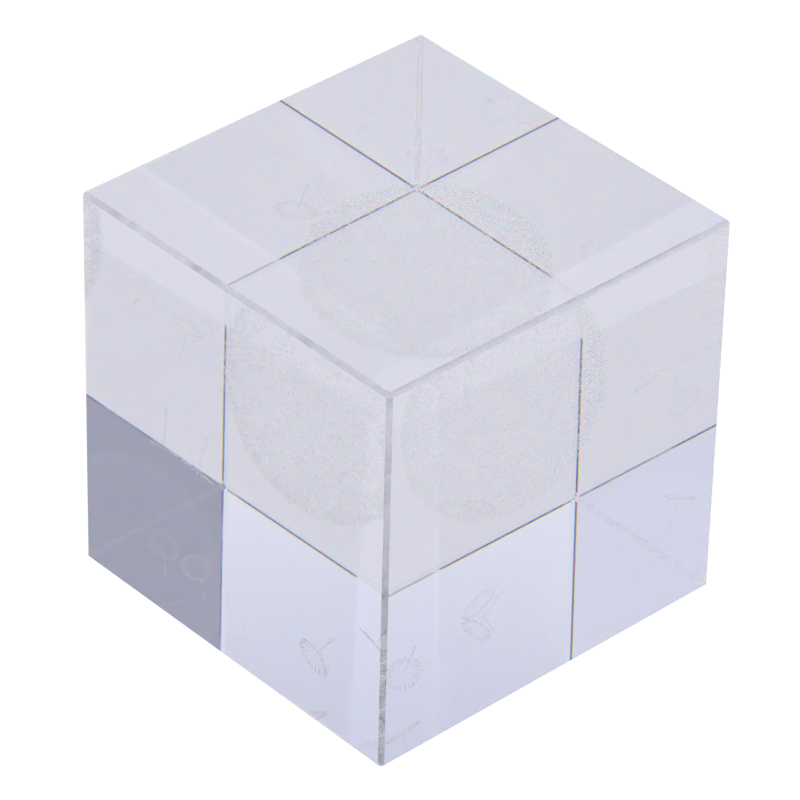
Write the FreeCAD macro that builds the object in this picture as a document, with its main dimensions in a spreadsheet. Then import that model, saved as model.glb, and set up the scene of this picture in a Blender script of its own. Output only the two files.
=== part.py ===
import FreeCAD
import Part
import Sketcher
import math
import os

"""Engraved glass display cube: one bevelled block of optical glass with a seed-head
engraved inside it, and six loose seeds drifting round the head.

Millimetres. The origin is the middle of the base, +Z is up. The block's four sides
face -X, +X, -Y and +Y. The engraved figure is a set of closed pockets of crazed
glass inside the clear block: the block has a void for each of them, and each named
group fills its own voids exactly.
"""

# Driving dimensions, one cell each in the document's sheet.
DIMENSIONS = {
    "cube_side": 50.0,
    "bevel_leg": 0.5,
    "head_x": 1.0,
    "head_y": 2.3,
    "head_height": 30.0,
    "head_radius": 14.2,
    "head_seed_count": 120,
    "core_radius": 3.2,
    "core_gap": 0.1,
    "achene_length": 1.9,
    "achene_radius": 0.22,
    "stalk_radius": 0.06,
    "head_hub_radius": 11.2,
    "head_tuft_rim": 1.85,
    "loose_stalk_length": 3.3,
    "loose_tuft_rim": 2.6,
    "loose_tuft_depth": 0.6,
    "tuft_wall": 0.1,
}

VOLUME_TOLERANCE = 0.001

# Each loose seed: where its hub lies (the point that its tuft spreads from), and the
# way its stalk runs from there to the achene, as a heading about +Z from +X and a
# rise above the level, in degrees.
LOOSE_SEEDS = {
    "low_front_seed": {"x": 9.35, "y": -15.5, "height": 4.8, "heading": 5.0, "rise": 50.0},
    "low_right_seed": {"x": 16.0, "y": -7.3, "height": 8.2, "heading": 69.5, "rise": 51.0},
    "low_left_seed": {"x": -21.6, "y": 9.2, "height": 7.3, "heading": 88.0, "rise": 65.0},
    "upper_left_seed": {"x": -19.3, "y": 5.2, "height": 27.0, "heading": 247.0, "rise": 16.0},
    "rear_corner_seed": {"x": -19.4, "y": 21.7, "height": 19.8, "heading": 300.0, "rise": -80.0},
    "rear_right_seed": {"x": 8.0, "y": 20.7, "height": 26.6, "heading": 200.0, "rise": 62.0},
}


def make_sheet(doc):
    """Write every driving dimension to its own aliased cell."""
    sheet = doc.addObject("Spreadsheet::Sheet", "sizes")
    rows = dict(DIMENSIONS)
    for name, place in LOOSE_SEEDS.items():
        for key, value in place.items():
            rows[f"{name}_{key}"] = value
    for row, (alias, value) in enumerate(rows.items(), start=1):
        sheet.set(f"A{row}", alias)
        sheet.set(f"B{row}", str(value))
        sheet.setAlias(f"B{row}", alias)
    doc.recompute()
    return sheet


def origin_plane(body, role):
    """The body's own origin plane with this role."""
    for feature in body.Origin.OriginFeatures:
        if feature.Role == role:
            return feature
    raise ValueError(f"no {role} in {body.Name}")


def make_bevelled_block(doc):
    """The outside of the glass: a square pad, bevelled on all twelve edges."""
    body = doc.addObject("PartDesign::Body", "bevelled_block")
    sketch = body.newObject("Sketcher::SketchObject", "base_square")
    sketch.AttachmentSupport = [(origin_plane(body, "XY_Plane"), "")]
    sketch.MapMode = "FlatFace"
    corners = [(-1, -1), (1, -1), (1, 1), (-1, 1)]
    half = DIMENSIONS["cube_side"] / 2
    for index in range(4):
        start = FreeCAD.Vector(corners[index][0] * half, corners[index][1] * half, 0)
        following = corners[(index + 1) % 4]
        end = FreeCAD.Vector(following[0] * half, following[1] * half, 0)
        sketch.addGeometry(Part.LineSegment(start, end), False)
    for index in range(4):
        sketch.addConstraint(Sketcher.Constraint("Coincident", index, 2, (index + 1) % 4, 1))
    sketch.addConstraint(Sketcher.Constraint("Horizontal", 0))
    sketch.addConstraint(Sketcher.Constraint("Horizontal", 2))
    sketch.addConstraint(Sketcher.Constraint("Vertical", 1))
    sketch.addConstraint(Sketcher.Constraint("Vertical", 3))
    sketch.addConstraint(Sketcher.Constraint("Symmetric", 0, 1, 1, 2, -1, 1))
    width = sketch.addConstraint(Sketcher.Constraint("DistanceX", 0, 1, 0, 2, 2 * half))
    depth = sketch.addConstraint(Sketcher.Constraint("DistanceY", 1, 1, 1, 2, 2 * half))
    sketch.setExpression(f"Constraints[{width}]", "sizes.cube_side")
    sketch.setExpression(f"Constraints[{depth}]", "sizes.cube_side")
    pad = body.newObject("PartDesign::Pad", "block_pad")
    pad.Profile = sketch
    pad.setExpression("Length", "sizes.cube_side")
    doc.recompute()
    bevels = body.newObject("PartDesign::Chamfer", "edge_bevels")
    bevels.Base = (pad, [f"Edge{number}" for number in range(1, 13)])
    bevels.setExpression("Size", "sizes.bevel_leg")
    body.Tip = bevels
    doc.recompute()
    return body


def make_achene(doc, name):
    """The seed's own grain: a short taper up to its girth, then a long one to the stalk."""
    foot = doc.addObject("Part::Cone", f"{name}_foot")
    foot.setExpression("Radius1", "sizes.stalk_radius")
    foot.setExpression("Radius2", "sizes.achene_radius")
    foot.setExpression("Height", "sizes.achene_length * 0.4")
    neck = doc.addObject("Part::Cone", f"{name}_neck")
    neck.setExpression("Radius1", "sizes.achene_radius")
    neck.setExpression("Radius2", "sizes.stalk_radius")
    neck.setExpression("Height", "sizes.achene_length * 0.6")
    neck.setExpression("Placement.Base.z", "sizes.achene_length * 0.4")
    achene = doc.addObject("Part::Fuse", name)
    achene.Base = foot
    achene.Tool = neck
    return achene


def make_stalk(doc, name, length):
    """The thin stalk between the achene and the hub."""
    stalk = doc.addObject("Part::Cylinder", name)
    stalk.setExpression("Radius", "sizes.stalk_radius")
    stalk.setExpression("Height", length)
    stalk.setExpression("Placement.Base.z", "sizes.achene_length")
    return stalk


def make_tuft(doc, name, hub, rim, depth):
    """The tuft of hairs as a thin open cone that stands on the hub."""
    outer = doc.addObject("Part::Cone", f"{name}_outside")
    outer.setExpression("Radius1", "sizes.stalk_radius")
    outer.setExpression("Radius2", rim)
    outer.setExpression("Height", depth)
    outer.setExpression("Placement.Base.z", hub)
    inner = doc.addObject("Part::Cone", f"{name}_inside")
    inner.Radius1 = 0
    inner.setExpression("Radius2", f"{rim} - sizes.tuft_wall")
    inner.setExpression("Height", f"{depth} - sizes.tuft_wall")
    inner.setExpression("Placement.Base.z", f"{hub} + sizes.tuft_wall")
    tuft = doc.addObject("Part::Cut", name)
    tuft.Base = outer
    tuft.Tool = inner
    return tuft


def make_seed_pattern(doc, name, stalk_length, rim, depth):
    """One upright seed, its achene's foot at the origin: achene, stalk, tuft and all three."""
    hub = f"(sizes.achene_length + {stalk_length})"
    pieces = [
        make_achene(doc, f"{name}_achene"),
        make_stalk(doc, f"{name}_stalk", stalk_length),
        make_tuft(doc, f"{name}_tuft", hub, rim, depth),
    ]
    whole = doc.addObject("Part::MultiFuse", f"{name}_whole")
    whole.Shapes = pieces
    whole.Refine = False
    doc.recompute()
    return pieces, whole


def head_directions(count):
    """Unit vectors spread evenly over a sphere by the golden angle."""
    golden_angle = math.pi * (3 - math.sqrt(5))
    directions = []
    for index in range(count):
        rise = 1 - (2 * index + 1) / count
        ring = math.sqrt(1 - rise * rise)
        turn = index * golden_angle
        directions.append(FreeCAD.Vector(ring * math.cos(turn), ring * math.sin(turn), rise))
    return directions


def head_placements(sheet):
    """Where each seed of the head stands: its foot just off the core, pointing outwards."""
    centre = FreeCAD.Vector(sheet.head_x, sheet.head_y, sheet.head_height)
    foot_radius = sheet.core_radius + sheet.core_gap
    placements = []
    for direction in head_directions(int(sheet.head_seed_count)):
        turn = FreeCAD.Rotation(FreeCAD.Vector(0, 0, 1), direction)
        placements.append(FreeCAD.Placement(centre + direction * foot_radius, turn))
    return placements


def loose_placement(sheet, name):
    """Where a loose seed's achene foot lies, and the turn that points it at its hub."""
    heading = math.radians(sheet.getPropertyByName(f"{name}_heading"))
    rise = math.radians(sheet.getPropertyByName(f"{name}_rise"))
    level = math.cos(rise)
    to_achene = FreeCAD.Vector(level * math.cos(heading), level * math.sin(heading), math.sin(rise))
    hub = FreeCAD.Vector(
        sheet.getPropertyByName(f"{name}_x"),
        sheet.getPropertyByName(f"{name}_y"),
        sheet.getPropertyByName(f"{name}_height"),
    )
    foot = hub + to_achene * (sheet.achene_length + sheet.loose_stalk_length)
    turn = FreeCAD.Rotation(FreeCAD.Vector(0, 0, 1), to_achene * -1)
    return FreeCAD.Placement(foot, turn)


def placed_copy(shape, placement):
    """A copy of a pattern's shape, moved to its place."""
    copy = shape.copy()
    copy.Placement = placement
    return copy


def make_group(doc, name, pattern, placements):
    """One node of separate solids: the pattern repeated at each placement."""
    group = doc.addObject("Part::Feature", name)
    group.Shape = Part.makeCompound([placed_copy(pattern.Shape, place) for place in placements])
    return group


def make_core(doc):
    """The round seat in the middle of the head that the seeds stand on."""
    core = doc.addObject("Part::Sphere", "head_core")
    core.setExpression("Radius", "sizes.core_radius")
    core.setExpression("Placement.Base.x", "sizes.head_x")
    core.setExpression("Placement.Base.y", "sizes.head_y")
    core.setExpression("Placement.Base.z", "sizes.head_height")
    return core


def make_voided_block(doc, outside, voids):
    """The clear glass: the bevelled block less every engraved pocket."""
    pockets = doc.addObject("Part::Compound", "engraved_pockets")
    pockets.Links = voids
    block = doc.addObject("Part::Cut", "glass_block")
    block.Base = outside
    block.Tool = pockets
    doc.recompute()
    return block


def check_document(doc):
    """Stop on any object that failed to recompute."""
    for thing in doc.Objects:
        if "Invalid" in thing.State or "Error" in thing.State:
            raise RuntimeError(f"{thing.Name} failed: {thing.State}")


def check_figure(outside, block, figure):
    """Stop unless the engraved pieces are inside the glass and fill its voids exactly."""
    filled = sum(piece.Shape.Volume for piece in figure)
    missing = outside.Shape.Volume - block.Shape.Volume - filled
    if abs(missing) > VOLUME_TOLERANCE:
        raise RuntimeError(f"the figure and its voids differ by {missing} cubic mm")
    for piece in figure:
        if not outside.Shape.BoundBox.isInside(piece.Shape.BoundBox):
            raise RuntimeError(f"{piece.Label} breaks out of the glass")


def export_nodes(nodes):
    """Check each node's shape, then write it under its label."""
    os.makedirs("parts", exist_ok=True)
    for node in nodes:
        shape = node.Shape
        if shape.isNull() or not shape.isValid() or not shape.Solids:
            raise RuntimeError(f"{node.Label} has no valid solid")
    for node in nodes:
        node.Shape.exportStep(f"parts/{node.Label}.step")
        print(node.Label, len(node.Shape.Solids), round(node.Shape.Volume, 4))


def main():
    doc = FreeCAD.newDocument("engraved_glass_cube")
    sheet = make_sheet(doc)
    outside = make_bevelled_block(doc)

    head_stalk = "(sizes.head_hub_radius - sizes.core_radius - sizes.core_gap - sizes.achene_length)"
    head_reach = "sqrt(sizes.head_radius ^ 2 - sizes.head_tuft_rim ^ 2)"
    head_depth = f"({head_reach} - sizes.head_hub_radius)"
    head_pieces, head_seed = make_seed_pattern(
        doc, "head_seed", head_stalk, "sizes.head_tuft_rim", head_depth
    )
    loose_pieces, loose_seed = make_seed_pattern(
        doc, "loose_seed", "sizes.loose_stalk_length", "sizes.loose_tuft_rim",
        "sizes.loose_tuft_depth",
    )

    places = head_placements(sheet)
    achenes = make_group(doc, "head_achenes", head_pieces[0], places)
    stalks = make_group(doc, "head_stalks", head_pieces[1], places)
    tufts = make_group(doc, "head_tufts", head_pieces[2], places)
    head_voids = make_group(doc, "head_voids", head_seed, places)
    core = make_core(doc)

    loose = []
    for name in LOOSE_SEEDS:
        loose.append(make_group(doc, name, loose_seed, [loose_placement(sheet, name)]))
    doc.recompute()

    block = make_voided_block(doc, outside, [head_voids, core] + loose)
    check_document(doc)
    figure = [core, achenes, stalks, tufts] + loose
    check_figure(outside, block, figure)
    export_nodes([block] + figure)


main()
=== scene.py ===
import math
import random

import bmesh
import bpy
from mathutils import Euler, Matrix, Vector


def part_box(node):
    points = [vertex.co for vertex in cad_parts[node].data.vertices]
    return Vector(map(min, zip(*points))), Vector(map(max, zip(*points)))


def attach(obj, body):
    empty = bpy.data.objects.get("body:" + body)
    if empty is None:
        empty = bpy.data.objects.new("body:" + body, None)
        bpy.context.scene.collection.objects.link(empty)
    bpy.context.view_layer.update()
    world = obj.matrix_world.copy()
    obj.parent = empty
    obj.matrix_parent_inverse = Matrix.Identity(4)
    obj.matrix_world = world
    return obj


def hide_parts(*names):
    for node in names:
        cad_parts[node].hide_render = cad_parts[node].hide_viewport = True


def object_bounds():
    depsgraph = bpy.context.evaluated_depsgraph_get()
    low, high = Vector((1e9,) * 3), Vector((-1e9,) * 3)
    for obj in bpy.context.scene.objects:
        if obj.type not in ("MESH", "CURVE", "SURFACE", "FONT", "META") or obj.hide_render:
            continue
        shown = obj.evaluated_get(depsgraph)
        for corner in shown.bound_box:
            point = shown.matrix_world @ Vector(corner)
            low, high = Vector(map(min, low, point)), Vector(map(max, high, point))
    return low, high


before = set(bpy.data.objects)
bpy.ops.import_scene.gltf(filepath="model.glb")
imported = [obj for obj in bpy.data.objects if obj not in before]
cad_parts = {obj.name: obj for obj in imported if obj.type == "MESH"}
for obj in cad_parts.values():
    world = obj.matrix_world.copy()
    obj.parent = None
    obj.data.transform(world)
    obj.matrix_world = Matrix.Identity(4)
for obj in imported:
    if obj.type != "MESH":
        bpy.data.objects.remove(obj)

CAD_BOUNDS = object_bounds()
LOW, HIGH = (Vector(corner) for corner in CAD_BOUNDS)
CENTRE = (LOW + HIGH) / 2
SIDE = HIGH.x - LOW.x
MM = 0.001

UP = Vector((0, 0, 1))

# ---------------------------------------------------------------- node wrapper

# Output sockets by number, for the nodes that have more than one.
WORLD_DIRECTION = 0    # Texture Coordinate, Generated
OBJECT_PLACE = 3       # Texture Coordinate, Object
FACET_NORMAL = 1       # Geometry, Normal
BACKFACING = 6         # Geometry, Backfacing
DOT_VALUE = 1          # Vector Math, Value
HEIGHT = 2             # Separate XYZ, Z
MIXED_COLOUR = 2       # Mix, Result as a colour

class Value:
    """A shader socket that adds Math nodes when Python operators are used on it."""

    def __init__(self, tree, socket):
        self.tree = tree
        self.socket = socket

    def _math(self, operation, *operands):
        node = self.tree.nodes.new("ShaderNodeMath")
        node.operation = operation
        for index, operand in enumerate(operands):
            plug(self.tree, operand, node.inputs[index])
        return Value(self.tree, node.outputs[0])

    def __add__(self, other):
        return self._math("ADD", self, other)

    def __sub__(self, other):
        return self._math("SUBTRACT", self, other)

    def __mul__(self, other):
        return self._math("MULTIPLY", self, other)

    def __rsub__(self, other):
        return self._math("SUBTRACT", other, self)

    __radd__ = __add__
    __rmul__ = __mul__


def plug(tree, source, target):
    """Link a wrapped socket to target, or set target to a plain value."""
    if isinstance(source, Value):
        tree.links.new(source.socket, target)
    else:
        target.default_value = source


class Shader:
    """A node tree under construction, for a material or the world."""

    def __init__(self, owner):
        owner.use_nodes = True
        self.tree = owner.node_tree
        self.tree.nodes.clear()

    def node(self, kind, settings=None, output=0, **inputs):
        """Add any node: settings first, then inputs by name or by 'in0', 'in1' ..."""
        node = self.tree.nodes.new(kind)
        for key, value in (settings or {}).items():
            setattr(node, key, value)
        for key, value in inputs.items():
            if key.startswith("in") and key[2:].isdigit():
                target = node.inputs[int(key[2:])]
            else:
                target = node.inputs[key.replace("_", " ")]
            plug(self.tree, value, target)
        return Value(self.tree, node.outputs[output])

    def fade(self, value, start, end):
        """0 where value is at start, 1 at end, smooth between."""
        return self.node(
            "ShaderNodeMapRange", {"interpolation_type": "SMOOTHSTEP"},
            Value=value, From_Min=start, From_Max=end,
        )

    def mix_colour(self, factor, first, second):
        return self.node(
            "ShaderNodeMix", {"data_type": "RGBA"}, output=MIXED_COLOUR,
            in0=factor, in6=first, in7=second,
        )


def rgb(red, green, blue):
    return (red, green, blue, 1.0)


# ---------------------------------------------------------------- camera

CAMERA_AZIMUTH = 46.9692
CAMERA_ELEVATION = 35.9007
CAMERA_ROLL = 1.432
CAMERA_DISTANCE = 12.4868
CAMERA_AIM = (0.0031, 0.0163)
SENSOR = 36.0
LENS = 253.85


def make_camera():
    """The lens about twelve and a half sides away, looking down on the near corner."""
    azimuth = math.radians(CAMERA_AZIMUTH)
    elevation = math.radians(CAMERA_ELEVATION)
    roll = math.radians(CAMERA_ROLL)
    back = Vector((
        math.sin(azimuth) * math.cos(elevation),
        -math.cos(azimuth) * math.cos(elevation),
        math.sin(elevation),
    ))
    level_right = UP.cross(back).normalized()
    level_up = back.cross(level_right)
    right = math.cos(roll) * level_right + math.sin(roll) * level_up
    upward = math.cos(roll) * level_up - math.sin(roll) * level_right
    place = back * CAMERA_DISTANCE - right * CAMERA_AIM[0] - upward * CAMERA_AIM[1]
    turn = Matrix((right, upward, back)).transposed()
    data = bpy.data.cameras.new("camera")
    data.sensor_width = SENSOR
    data.lens = LENS
    data.clip_start = 0.01
    camera = bpy.data.objects.new("camera", data)
    camera.matrix_world = Matrix.Translation(CENTRE + place * SIDE) @ turn.to_4x4()
    bpy.context.scene.collection.objects.link(camera)
    bpy.context.scene.camera = camera


# ---------------------------------------------------------------- stage


def heading(azimuth, elevation):
    """The unit vector that points at this azimuth, from +X towards +Y, and elevation."""
    azimuth, elevation = math.radians(azimuth), math.radians(elevation)
    return Vector((
        math.cos(azimuth) * math.cos(elevation), math.sin(azimuth) * math.cos(elevation),
        math.sin(elevation),
    ))


AWAY_RIGHT = heading(43, 36)
AWAY_LEFT = heading(223, 36)
AWAY = heading(137, 36)
HIGH_AWAY = heading(137, 50)
HIGH_NEAR = heading(-43, 50)
LENS_SIDE = heading(-43, 36)
TENT_WHITE = (1.14, 1.16, 1.20)
TENT_LEFT = (1.02, 1.05, 1.19)
TENT_CARD = (0.48, 0.50, 0.61)
TENT_HIGH_AWAY = (0.70, 0.73, 0.92)
TENT_AWAY = (1.32, 1.35, 1.39)
TENT_HIGH_NEAR = (0.80, 0.81, 0.84)
TENT_LENS_SIDE = (0.04, 0.04, 0.045)
TENT_TOP = (1.50, 1.49, 1.46)
# Towards, the dot products where the patch starts and is full, and its tone.
TENT_PATCHES = (
    (AWAY_LEFT, 0.80, 0.93, TENT_LEFT),
    (AWAY_RIGHT, 0.80, 0.93, TENT_CARD),
    (AWAY, 0.88, 0.97, TENT_AWAY),
    (UP, 0.66, 0.97, TENT_TOP),
    (HIGH_AWAY, 0.965, 0.995, TENT_HIGH_AWAY),
    (HIGH_NEAR, 0.965, 0.995, TENT_HIGH_NEAR),
    (LENS_SIDE, 0.94, 0.975, TENT_LENS_SIDE),
)
FLOOR_GAP = 0.2 * MM
FLOOR_REACH = 6.0
PAPER_WHITE = (0.97, 0.97, 0.97)
PAPER_FIBRE = (0.86, 0.85, 0.84)
FIBRE_SCALE = 700.0
FIBRE_SHARE = 0.06


def make_floor():
    """A plain white sheet under the cube, a paper's thickness below its base."""
    shape = bmesh.new()
    bmesh.ops.create_grid(shape, x_segments=1, y_segments=1, size=FLOOR_REACH)
    bmesh.ops.translate(shape, verts=shape.verts, vec=(0, 0, LOW.z - FLOOR_GAP))
    floor = finish_piece(shape, "floor")
    paper = paper_material()
    floor.data.materials.append(paper)


def paper_material():
    """White paper with a faint fibre."""
    paper = bpy.data.materials.new("white_paper")
    shader = Shader(paper)
    place = shader.node("ShaderNodeTexCoord", output=OBJECT_PLACE)
    fibre = shader.node("ShaderNodeTexNoise", Vector=place, Scale=FIBRE_SCALE, Detail=3.0)
    colour = shader.mix_colour(fibre * FIBRE_SHARE, rgb(*PAPER_WHITE), rgb(*PAPER_FIBRE))
    surface = shader.node("ShaderNodeBsdfDiffuse", Color=colour)
    output = shader.tree.nodes.new("ShaderNodeOutputMaterial")
    plug(shader.tree, surface, output.inputs["Surface"])
    return paper


def make_world():
    """A white light tent with patches of other tones, blended in one after another."""
    world = bpy.data.worlds.new("light_tent")
    bpy.context.scene.world = world
    shader = Shader(world)
    direction = shader.node("ShaderNodeTexCoord", output=WORLD_DIRECTION)
    colour = rgb(*TENT_WHITE)
    for towards, start, full, tone in TENT_PATCHES:
        nearness = shader.node(
            "ShaderNodeVectorMath", {"operation": "DOT_PRODUCT"}, output=DOT_VALUE,
            in0=direction, in1=towards,
        )
        colour = shader.mix_colour(shader.fade(nearness, start, full), colour, rgb(*tone))
    background = shader.node("ShaderNodeBackground", Color=colour, Strength=1.0)
    output = shader.tree.nodes.new("ShaderNodeOutputWorld")
    plug(shader.tree, background, output.inputs["Surface"])


# ---------------------------------------------------------------- pieces


def finish_piece(shape, name):
    """Turn a finished bmesh into a linked object at the origin."""
    mesh = bpy.data.meshes.new(name)
    shape.to_mesh(mesh)
    shape.free()
    piece = bpy.data.objects.new(name, mesh)
    bpy.context.scene.collection.objects.link(piece)
    return piece


BEVEL = 0.5 * MM
GLASS_IOR = 1.517
BAND_IORS = (1.5140, 1.5175, 1.5240)    # red, green and blue
SMEAR = 0.006
SMEAR_SCALE = 45.0
GLASS_TINT = (0.655, 0.645, 0.705)
GROUND_PALE = (0.70, 0.69, 0.76)
GROUND_DULL = (0.50, 0.49, 0.56)
# Tones of the ground bevel at the block's foot: painted shade, darker than the tones higher up,
# standing for the floor's shade.
FOOT_SHADED_PALE = (0.34, 0.34, 0.39)
FOOT_SHADED_DULL = (0.23, 0.23, 0.27)
GROUND_WITHIN = (0.56, 0.56, 0.60)
GROUND_OUTSIDE = 0.59
GROUND_LOW = 0.30
GROUND_INSIDE = 0.12
GROUND_GRAIN = 1800.0
GROUND_PATCHES = 160.0
PATCH_SWING = 0.14
CLEAR_BEVEL_ROUGHNESS = 0.02


def make_block():
    """The clear cube, with a flat bevel on each edge; the bevels take the second material."""
    shape = bmesh.new()
    bmesh.ops.create_cube(shape, size=SIDE)
    bmesh.ops.translate(shape, verts=shape.verts, vec=CENTRE)
    cut = bmesh.ops.bevel(
        shape, geom=shape.edges[:], offset=BEVEL, offset_type="OFFSET",
        affect="EDGES", segments=1, profile=0.5, material=-1,
    )
    for face in cut["faces"]:
        face.material_index = 1
    block = finish_piece(shape, "clear_block")
    block.data.materials.append(glass_material())
    block.data.materials.append(bevel_material())
    block.visible_shadow = False
    block.visible_diffuse = False
    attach(block, "root")
    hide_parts("glass_block")
    return block


def polish(shader):
    """How rough a polished face is for light that leaves it: smooth, but for a few faint smears."""
    place = shader.node("ShaderNodeTexCoord", output=OBJECT_PLACE)
    smears = shader.node("ShaderNodeTexNoise", Vector=place, Scale=SMEAR_SCALE, Detail=3.0)
    return SMEAR * shader.fade(smears, 0.50, 0.72)


def glass_material():
    """Polished optical glass, which bends blue a little more than red where light enters it."""
    glass = bpy.data.materials.new("optical_glass")
    shader = Shader(glass)
    roughness = polish(shader)
    leaving = shader.node(
        "ShaderNodeBsdfPrincipled",
        Base_Color=rgb(*GLASS_TINT), Roughness=roughness, IOR=GLASS_IOR, Transmission_Weight=1.0,
    )
    bands = []
    for channel, ior in enumerate(BAND_IORS):
        colour = [0.0, 0.0, 0.0]
        colour[channel] = len(BAND_IORS) * math.sqrt(GLASS_TINT[channel])
        bands.append(
            shader.node("ShaderNodeBsdfGlass", Color=rgb(*colour), Roughness=0.0, IOR=ior)
        )
    red_green = shader.node("ShaderNodeMixShader", in0=1 / 2, in1=bands[0], in2=bands[1])
    entering = shader.node("ShaderNodeMixShader", in0=1 / 3, in1=red_green, in2=bands[2])
    within = shader.node("ShaderNodeNewGeometry", output=BACKFACING)
    surface = shader.node("ShaderNodeMixShader", in0=within, in1=entering, in2=leaving)
    output = shader.tree.nodes.new("ShaderNodeOutputMaterial")
    plug(shader.tree, surface, output.inputs["Surface"])
    return glass


def bevel_material():
    """A finely ground bevel: its grain shows from outside, and hardly from within the glass.

    Towards the foot of the block the ground part's tone is darkened by painted shade, which stands
    for the floor's shade there, and there is less of the ground part there.
    """
    ground = bpy.data.materials.new("ground_bevel")
    shader = Shader(ground)
    place = shader.node("ShaderNodeTexCoord", output=OBJECT_PLACE)
    height = shader.node("ShaderNodeSeparateXYZ", output=HEIGHT, Vector=place)
    grain = shader.node("ShaderNodeTexNoise", Vector=place, Scale=GROUND_GRAIN, Detail=4.0)
    patches = shader.node("ShaderNodeTexNoise", Vector=place, Scale=GROUND_PATCHES, Detail=2.0)
    clear = shader.node(
        "ShaderNodeBsdfPrincipled",
        Base_Color=rgb(*GLASS_TINT), Roughness=CLEAR_BEVEL_ROUGHNESS, IOR=GLASS_IOR,
        Transmission_Weight=1.0,
    )
    within = shader.node("ShaderNodeNewGeometry", output=BACKFACING)
    # Painted shade: the bevel's tone darkens from the top of the block down to its foot, where the
    # floor shades it; the frost share falls the same way.
    clear_of_foot_shade = shader.fade(height, LOW.z, HIGH.z)
    dull = shader.mix_colour(clear_of_foot_shade, rgb(*FOOT_SHADED_DULL), rgb(*GROUND_DULL))
    pale = shader.mix_colour(clear_of_foot_shade, rgb(*FOOT_SHADED_PALE), rgb(*GROUND_PALE))
    tone = shader.mix_colour(grain, dull, pale)
    tone = shader.mix_colour(within, tone, rgb(*GROUND_WITHIN))
    frost = shader.node("ShaderNodeBsdfPrincipled", Base_Color=tone, Roughness=0.45 + 0.2 * grain)
    outside = GROUND_LOW + (GROUND_OUTSIDE - GROUND_LOW) * clear_of_foot_shade
    outside = outside + PATCH_SWING * (patches - 0.5)
    share = outside * (1 - within) + GROUND_INSIDE * within
    surface = shader.node("ShaderNodeMixShader", in0=share, in1=clear, in2=frost)
    output = shader.tree.nodes.new("ShaderNodeOutputMaterial")
    plug(shader.tree, surface, output.inputs["Surface"])
    return ground


CRAZED_DARK = (0.40, 0.40, 0.41)
CRAZED_PALE = (0.86, 0.86, 0.87)
FINE_DARK = (0.47, 0.47, 0.49)
FINE_PALE = (0.98, 0.98, 0.99)
BRIGHT_SIDE = Vector((0.70, 0.75, -0.13))
FACING_SHARE = 0.6
CRACK_GRAIN = 4000.0


def crazed_material(name, dark, pale):
    """The frosty white of crack points, which differs from one to the next.

    Facets that face BRIGHT_SIDE are painted paler than those that face away from it, which
    stands for uneven light on the crazing.
    """
    crazed = bpy.data.materials.new(name)
    shader = Shader(crazed)
    place = shader.node("ShaderNodeTexCoord", output=OBJECT_PLACE)
    grain = shader.node("ShaderNodeTexNoise", Vector=place, Scale=CRACK_GRAIN, Detail=2.0)
    facing = shader.node(
        "ShaderNodeVectorMath", {"operation": "DOT_PRODUCT"}, output=DOT_VALUE,
        in0=shader.node("ShaderNodeNewGeometry", output=FACET_NORMAL), in1=BRIGHT_SIDE,
    )
    share = (1 - FACING_SHARE) * shader.fade(grain, 0.35, 0.65)
    share = share + FACING_SHARE * shader.fade(facing, -0.8, 0.8)
    tone = shader.mix_colour(share, rgb(*dark), rgb(*pale))
    surface = shader.node(
        "ShaderNodeBsdfPrincipled", Base_Color=tone, Roughness=0.5 + 0.3 * grain,
    )
    output = shader.tree.nodes.new("ShaderNodeOutputMaterial")
    plug(shader.tree, surface, output.inputs["Surface"])
    return crazed


def spread_directions(count):
    """Unit vectors spread evenly over a sphere by the golden angle, as the CAD head has them."""
    golden_angle = math.pi * (3 - math.sqrt(5))
    directions = []
    for index in range(count):
        rise = 1 - (2 * index + 1) / count
        ring = math.sqrt(1 - rise * rise)
        turn = index * golden_angle
        directions.append(Vector((ring * math.cos(turn), ring * math.sin(turn), rise)))
    return directions


def node_centre(node):
    low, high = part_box(node)
    return (low + high) / 2


def node_reach(node):
    """Half the mean width of a node's box."""
    low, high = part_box(node)
    return (high.x - low.x + high.y - low.y + high.z - low.z) / 6


def seed_axis(node):
    """A loose seed's achene foot, and the way from it to its hub, from its CAD solid.

    The foot and the tuft's rim are the solid's farthest points, and only the foot has a
    whole ring of points at that distance from it.
    """
    points = [vertex.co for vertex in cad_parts[node].data.vertices]
    first = max(points, key=lambda point: (point - points[0]).length)
    second = max(points, key=lambda point: (point - first).length)
    reach = (second - first).length - SAME_REACH
    rings = [[point for point in points if (point - end).length > reach] for end in (first, second)]
    foot, ring = max(zip((first, second), rings), key=lambda pair: len(pair[1]))
    return foot, (sum(ring, Vector()) / len(ring) - foot).normalized()


HEAD_POINT = 0.062 * MM
POINT = 0.050 * MM
FAINT_POINT = 0.030 * MM
BOLD_POINT = 0.062 * MM
ACHENE_LENGTH = 1.9 * MM
ACHENE_RADIUS = 0.22 * MM
LOOSE_STALK = 3.3 * MM
LOOSE_RADIUS = 2.75 * MM
LOOSE_DEPTH = 0.6 * MM
LOOSE_LINE_POINTS = 60
LOOSE_HAIRS = 46
LOOSE_HAIR_POINTS = 14
TIPWARD = 0.2    # the less, the nearer the points are to the hairs' tips
SAME_REACH = 0.05 * MM


def add_point(shape, place, size, draw):
    """One crack point: a four-sided shard, turned any way."""
    turn = Euler([draw.uniform(0, 2 * math.pi) for _ in range(3)]).to_matrix().to_4x4()
    bmesh.ops.create_cone(
        shape, cap_ends=True, segments=3, radius1=1.0, radius2=0.0, depth=1.4,
        matrix=Matrix.Translation(place) @ turn @ Matrix.Scale(size, 4),
    )


def add_line(shape, start, end, count, size, draw):
    """Crack points along a line, spaced a little unevenly."""
    for index in range(count):
        share = (index + draw.uniform(0.2, 0.8)) / count
        add_point(shape, start.lerp(end, share), size, draw)


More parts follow.
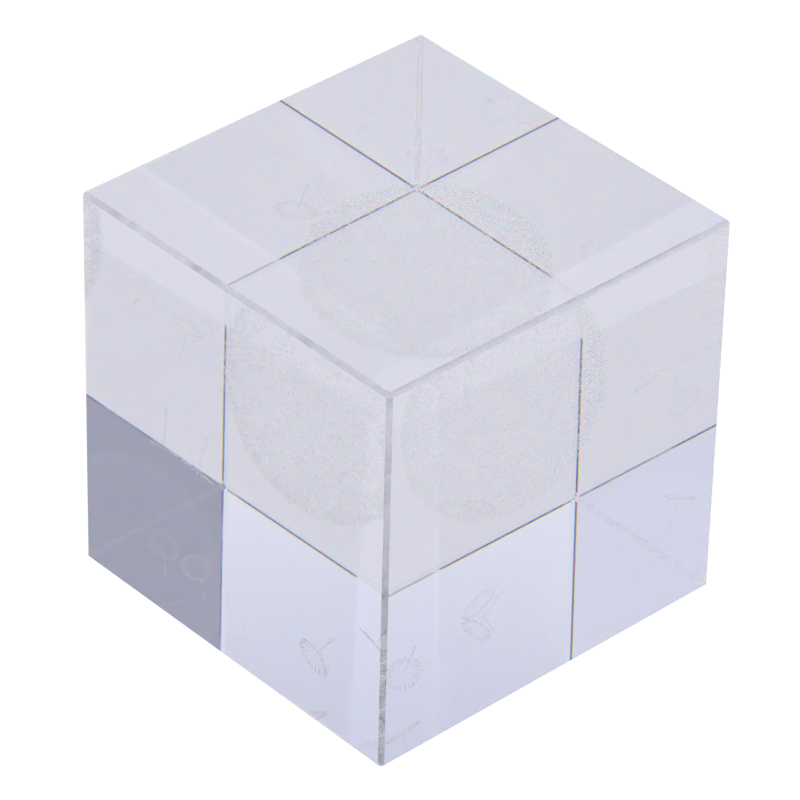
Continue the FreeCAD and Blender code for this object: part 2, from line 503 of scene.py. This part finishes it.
def add_achene(shape, foot, count, size, draw):
    """The grain: a spindle of crack points, fullest a third of the way up."""
    for index in range(count):
        rise = (index + draw.uniform(0.0, 1.0)) / count
        around = draw.uniform(0, 2 * math.pi)
        girth = ACHENE_RADIUS * math.sin(math.pi * rise ** 0.7)
        height = foot + rise * ACHENE_LENGTH
        place = Vector((girth * math.cos(around), girth * math.sin(around), height))
        add_point(shape, place, size, draw)


def add_tuft(shape, hub, hairs, points, radius, depth, inner, bend, size, draw):
    """A tuft on the axis: hairs of crack points from the hub out to tips up to a depth above it.

    The tips lie between the inner share of the radius and the whole of it. A bend of 1 is a
    straight hair, and more than 1 makes the tuft a bowl.
    """
    for index in range(hairs):
        around = 2 * math.pi * (index + draw.uniform(-0.4, 0.4)) / hairs
        tip_out = radius * math.sqrt(draw.uniform(inner * inner, 1.0))
        tip_rise = depth * draw.uniform(0.8, 1.0)
        for step in range(points):
            share = ((step + draw.uniform(0.0, 1.0)) / points) ** TIPWARD
            out = tip_out * share
            rise = tip_rise * share ** bend
            place = Vector((out * math.cos(around), out * math.sin(around), hub + rise))
            add_point(shape, place, size, draw)


def pattern(name, make, *details):
    """A mesh built once, for copies."""
    shape = bmesh.new()
    make(shape, *details)
    mesh = bpy.data.meshes.new(name)
    shape.to_mesh(mesh)
    shape.free()
    return mesh


def scatter(name, meshes, places, material, node):
    """One piece of many copies of the pattern meshes, in place of a CAD node."""
    shape = bmesh.new()
    for index, place in enumerate(places):
        before = len(shape.verts)
        shape.from_mesh(meshes[index % len(meshes)])
        shape.verts.ensure_lookup_table()
        bmesh.ops.transform(shape, matrix=place, verts=shape.verts[before:])
    show_figure(shape, name, material, node)


def show_figure(shape, name, material, node):
    """An engraved piece, which stands for its CAD node."""
    piece = finish_piece(shape, name)
    piece.data.materials.append(material)
    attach(piece, "root")
    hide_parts(node)


HEAD_COUNT = 120
HUB_RADIUS = 11.2 * MM
FOOT_RADIUS = 3.3 * MM
TUFT_RADIUS = 2.7 * MM
TUFT_PATTERNS = 5
HEAD_HAIRS = 100
HEAD_HAIR_POINTS = 3
HEAD_ACHENE_POINTS = 16
HEAD_STALK_POINTS = 6
CORE_POINTS = 260


def make_head(material):
    """The seed-head: core, achenes, stalks and tufts, on the CAD head's own directions."""
    centre = node_centre("head_core")
    tuft_depth = node_reach("head_tufts") - HUB_RADIUS
    draw = random.Random(7)
    places = []
    for direction in spread_directions(HEAD_COUNT):
        turn = direction.to_track_quat("Z", "Y").to_matrix().to_4x4()
        roll = Matrix.Rotation(draw.uniform(0, 2 * math.pi), 4, "Z")
        places.append(Matrix.Translation(centre) @ turn @ roll)
    tufts = [
        pattern(
            f"tuft_{index}", add_tuft, HUB_RADIUS, HEAD_HAIRS, HEAD_HAIR_POINTS, TUFT_RADIUS,
            tuft_depth, 0.05, 1.0, HEAD_POINT, draw,
        )
        for index in range(TUFT_PATTERNS)
    ]
    scatter("tufts", tufts, places, material, "head_tufts")
    grain = pattern("achene", add_achene, FOOT_RADIUS, HEAD_ACHENE_POINTS, FAINT_POINT, draw)
    scatter("achenes", [grain], places, material, "head_achenes")
    top = Vector((0, 0, FOOT_RADIUS + ACHENE_LENGTH))
    hub = Vector((0, 0, HUB_RADIUS))
    stalk = pattern("stalk", add_line, top, hub, HEAD_STALK_POINTS, FAINT_POINT, draw)
    scatter("stalks", [stalk], places, material, "head_stalks")
    shape = bmesh.new()
    for direction in spread_directions(CORE_POINTS):
        add_point(shape, centre + direction * node_reach("head_core"), POINT, draw)
    show_figure(shape, "core", material, "head_core")


LOOSE_POINTS = {
    "low_front_seed": BOLD_POINT, "low_right_seed": POINT, "low_left_seed": POINT,
    "upper_left_seed": FAINT_POINT, "rear_corner_seed": FAINT_POINT,
    "rear_right_seed": FAINT_POINT,
}


def make_loose_seed(node, size, material):
    """One drifting seed of crack points this big, along its CAD solid's own axis."""
    foot, axis = seed_axis(node)
    draw = random.Random(node)
    hub = ACHENE_LENGTH + LOOSE_STALK
    shape = bmesh.new()
    top = Vector((0, 0, ACHENE_LENGTH))
    add_achene(shape, 0.0, LOOSE_LINE_POINTS, size, draw)
    add_line(shape, top, Vector((0, 0, hub)), LOOSE_LINE_POINTS, size, draw)
    add_tuft(
        shape, hub, LOOSE_HAIRS, LOOSE_HAIR_POINTS, LOOSE_RADIUS, LOOSE_DEPTH, 0.85, 1.4,
        size, draw,
    )
    turn = axis.to_track_quat("Z", "Y").to_matrix().to_4x4()
    bmesh.ops.transform(shape, matrix=Matrix.Translation(foot) @ turn, verts=shape.verts)
    show_figure(shape, node.replace("_seed", "_drifter"), material, node)


LIGHT_BOUNCES = 24


def main():
    make_camera()
    make_world()
    make_floor()
    make_block()
    make_head(crazed_material("fine_crazed_glass", FINE_DARK, FINE_PALE))
    crazed = crazed_material("crazed_glass", CRAZED_DARK, CRAZED_PALE)
    for node, size in LOOSE_POINTS.items():
        make_loose_seed(node, size, crazed)
    scene = bpy.context.scene
    scene.view_settings.view_transform = "Standard"
    scene.cycles.max_bounces = LIGHT_BOUNCES
    scene.cycles.glossy_bounces = LIGHT_BOUNCES
    scene.cycles.transmission_bounces = LIGHT_BOUNCES


main()
